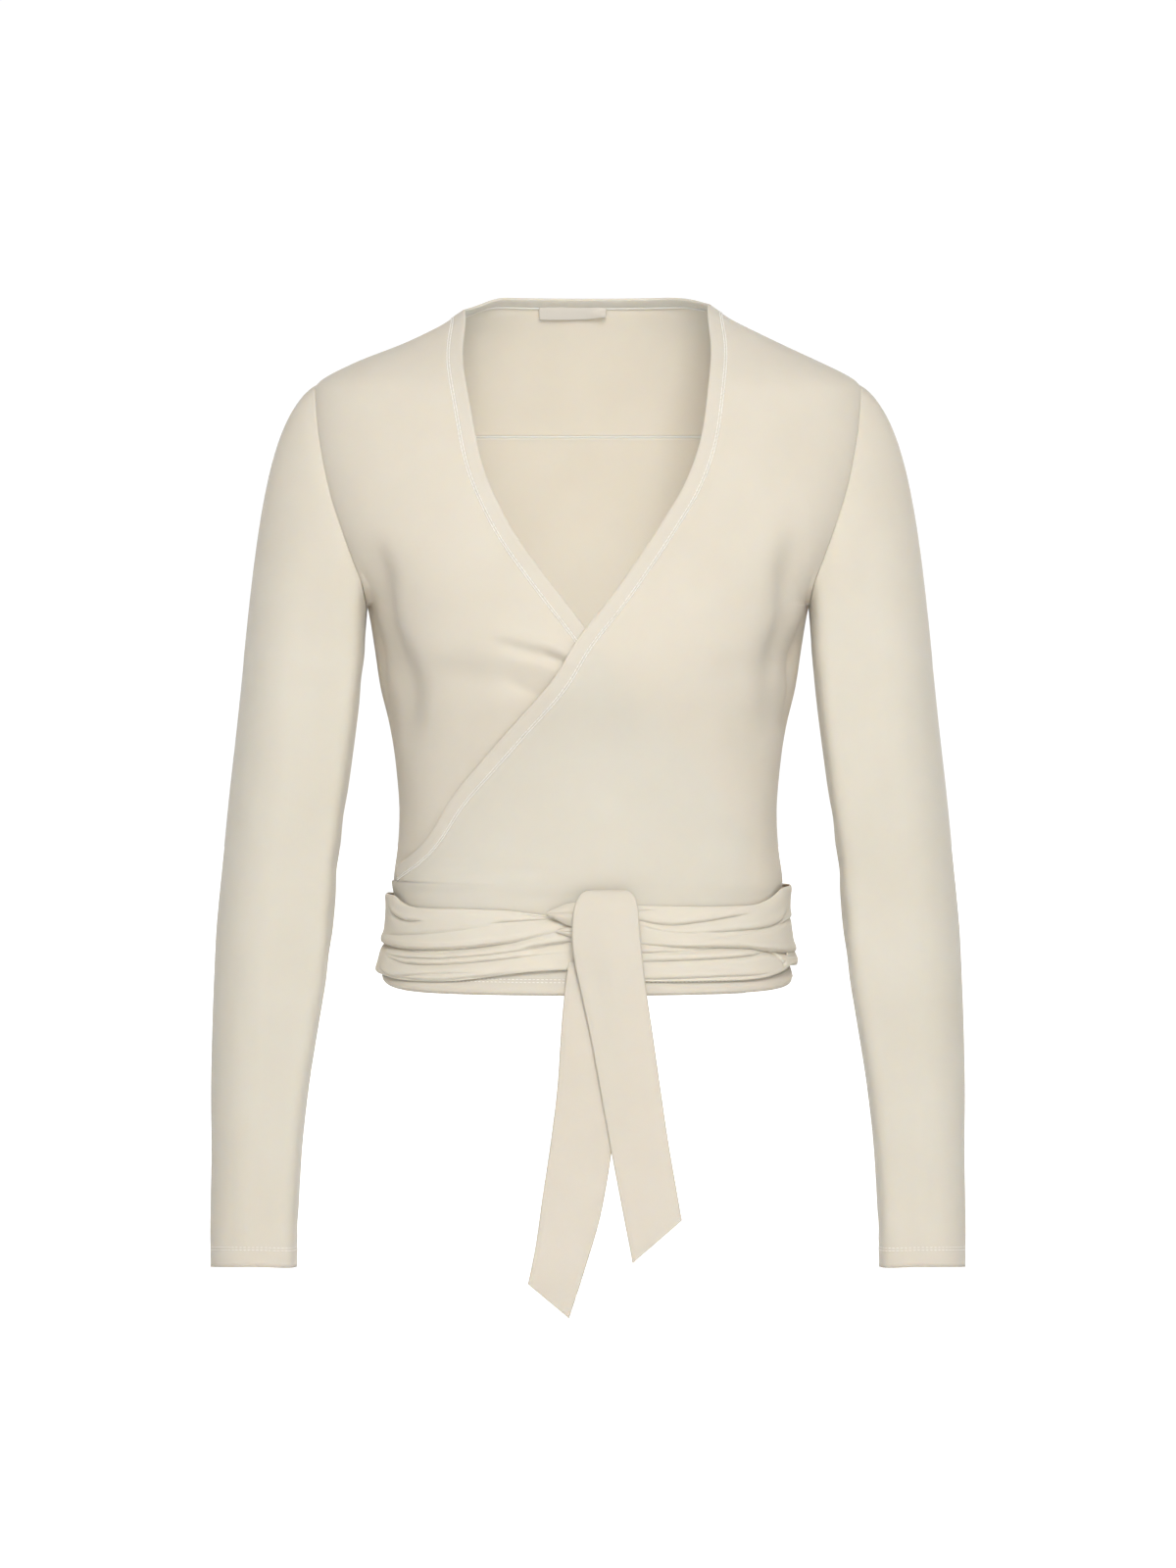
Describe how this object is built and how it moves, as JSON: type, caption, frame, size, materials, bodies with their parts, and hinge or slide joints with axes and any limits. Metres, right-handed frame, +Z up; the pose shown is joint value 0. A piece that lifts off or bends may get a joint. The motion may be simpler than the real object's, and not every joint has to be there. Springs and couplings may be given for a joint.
{
  "type": "wrap top",
  "caption": "Long-sleeved jersey wrap top with crossed V-neck fronts, a narrow neckband and a sash knotted at the centre front, held in its worn hollow form.",
  "frame": {"origin": "on the wearer's shoulders: midway between the two neck points of the shoulder seams", "axes": "+Z up along the body, -Y towards the front of the garment, +X towards the wearer's left"},
  "size_m": [0.521, 0.2281, 0.6987],
  "materials": {
    "jersey": "matte fine jersey knit",
    "label_satin": "woven satin label"
  },
  "bodies": {
    "root": {"front_over": "jersey", "front_under": "jersey", "back_body": "jersey", "back_yoke": "jersey", "neckband": "jersey", "neck_label": "label_satin", "sleeve_left": "jersey", "sleeve_right": "jersey", "sash_left": "jersey", "sash_right": "jersey", "knot": "jersey", "tail_front": "jersey", "tail_back": "jersey"}
  },
  "joints": []
}
